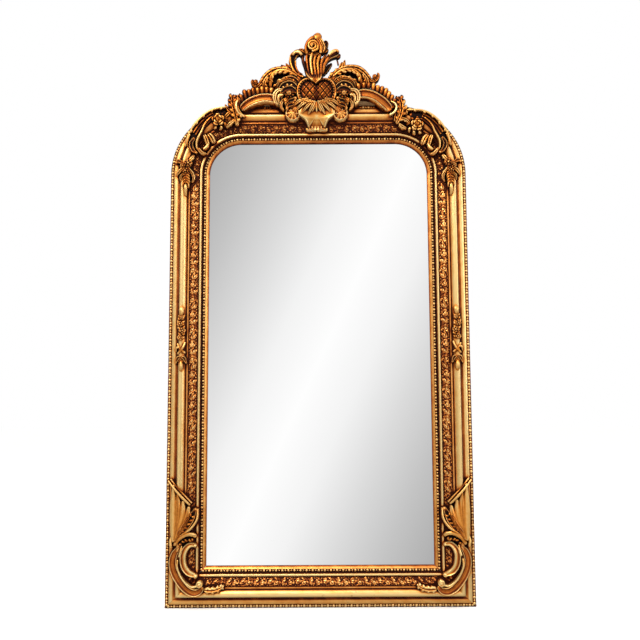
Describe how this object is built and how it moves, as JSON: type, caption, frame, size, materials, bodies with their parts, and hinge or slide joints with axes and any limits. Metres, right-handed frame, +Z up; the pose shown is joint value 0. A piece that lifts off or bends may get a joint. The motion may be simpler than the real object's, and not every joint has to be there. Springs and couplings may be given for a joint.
{
  "type": "trumeau mirror",
  "caption": "Tall gilt mirror with arched shoulders, a beaded and carved moulding, scrolled lower corners and a high pierced crest of acanthus leaves round a heart cabochon; hangs on a wall.",
  "frame": {"origin": "middle of the frame's bottom edge, halfway through the depth of the moulding's plain edge", "axes": "+X to the viewer's right, +Y back to the wall, +Z up"},
  "size_m": [1.07, 0.1223, 2.0508],
  "materials": {
    "frame_gilt": "antiqued gold leaf over gesso, burnished on the roll, dark in the hollows",
    "carved_gilt": "antiqued gold leaf on composition carving, dark brown toning in the hollows",
    "bright_gilt": "rubbed gold leaf, bright on the ridges",
    "old_gilt": "satin gold leaf",
    "silvered_glass": "flat silvered glass",
    "pine": "bare pine",
    "zinc_steel": "zinc plated",
    "felt": "pressed felt"
  },
  "bodies": {
    "mirror": {"left_frame": "frame_gilt", "left_shoulder_frame": "frame_gilt", "right_frame": "frame_gilt", "right_shoulder_frame": "frame_gilt", "bottom_frame": "frame_gilt", "top_frame": "frame_gilt", "left_slip": "old_gilt", "left_shoulder_slip": "old_gilt", "right_slip": "old_gilt", "right_shoulder_slip": "old_gilt", "bottom_slip": "old_gilt", "top_slip": "old_gilt", "mirror_glass": "silvered_glass", "lower_backing_board": "pine", "upper_backing_board": "pine", "crest_board": "pine", "crest_cleat": "pine", "crest_heart": "bright_gilt", "crest_apron": "bright_gilt", "crest_left_wing": "carved_gilt", "crest_right_wing": "carved_gilt", "crest_plume": "carved_gilt", "crest_finial": "bright_gilt", "crest_left_acanthus": "carved_gilt", "crest_right_acanthus": "carved_gilt", "crest_left_arc": "bright_gilt", "crest_right_arc": "bright_gilt", "crest_left_gadroons": "carved_gilt", "crest_right_gadroons": "carved_gilt", "left_spray": "carved_gilt", "right_spray": "carved_gilt", "left_rose": "carved_gilt", "right_rose": "carved_gilt", "left_shoulder_leaf": "carved_gilt", "right_shoulder_leaf": "carved_gilt", "left_drop": "carved_gilt", "right_drop": "carved_gilt", "left_garland": "carved_gilt", "right_garland": "carved_gilt", "left_outer_scroll": "bright_gilt", "left_inner_scroll": "bright_gilt", "left_corner_leaf": "carved_gilt", "right_outer_scroll": "bright_gilt", "right_inner_scroll": "bright_gilt", "right_corner_leaf": "carved_gilt", "crest_left_strap": "zinc_steel", "crest_right_strap": "zinc_steel", "left_corner_plate": "zinc_steel", "right_corner_plate": "zinc_steel", "left_hanger_strap": "zinc_steel", "left_lower_pad": "felt", "left_upper_pad": "felt", "right_hanger_strap": "zinc_steel", "right_lower_pad": "felt", "right_upper_pad": "felt"},
    "left_ring": {"left_hanger_ring": "zinc_steel"},
    "right_ring": {"right_hanger_ring": "zinc_steel"}
  },
  "joints": [
    {"name": "left_ring_hinge", "type": "hinge", "parent": "mirror", "child": "left_ring", "pos_m": [-0.453, 0.02127, 1.34], "axis": [0, 0, 1], "range_deg": [0, 165]},
    {"name": "right_ring_hinge", "type": "hinge", "parent": "mirror", "child": "right_ring", "pos_m": [0.453, 0.02127, 1.34], "axis": [0, 0, -1], "range_deg": [0, 165]}
  ]
}
